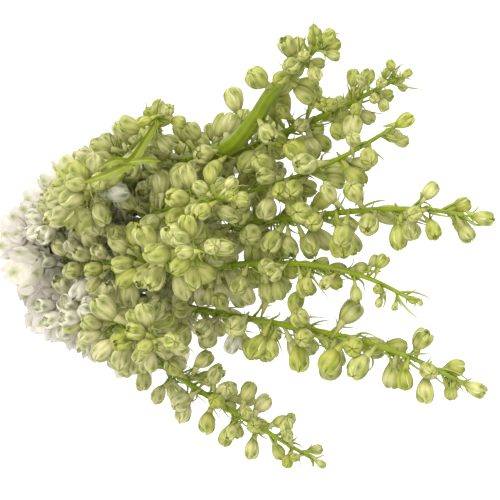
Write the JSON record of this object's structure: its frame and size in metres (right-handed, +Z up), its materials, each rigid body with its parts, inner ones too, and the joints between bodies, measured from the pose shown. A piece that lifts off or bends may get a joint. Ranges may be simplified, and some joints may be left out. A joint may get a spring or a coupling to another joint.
{
  "type": "delphinium in vase",
  "caption": "Upright bunch of cut delphinium spikes, pale green buds over white open flowers, standing in water in a plain straight-sided glazed vase",
  "frame": {"origin": "centre of the vase's flat foot, on the surface it stands on", "axes": "+Z is up, along the vase's axis; +Y is the side that most spikes lean to; +X completes the right-handed frame"},
  "size_m": [0.2617, 0.2105, 0.6233],
  "materials": {
    "glaze": "gloss",
    "water": "clear",
    "flower": "satin"
  },
  "bodies": {
    "root": {"vase": "glaze", "water": "water", "spike_01": "flower", "spike_02": "flower", "spike_03": "flower", "spike_04": "flower", "spike_05": "flower", "spike_06": "flower", "spike_07": "flower", "spike_08": "flower", "spike_09": "flower", "spike_10": "flower", "spike_11": "flower", "spike_12": "flower"}
  },
  "joints": []
}
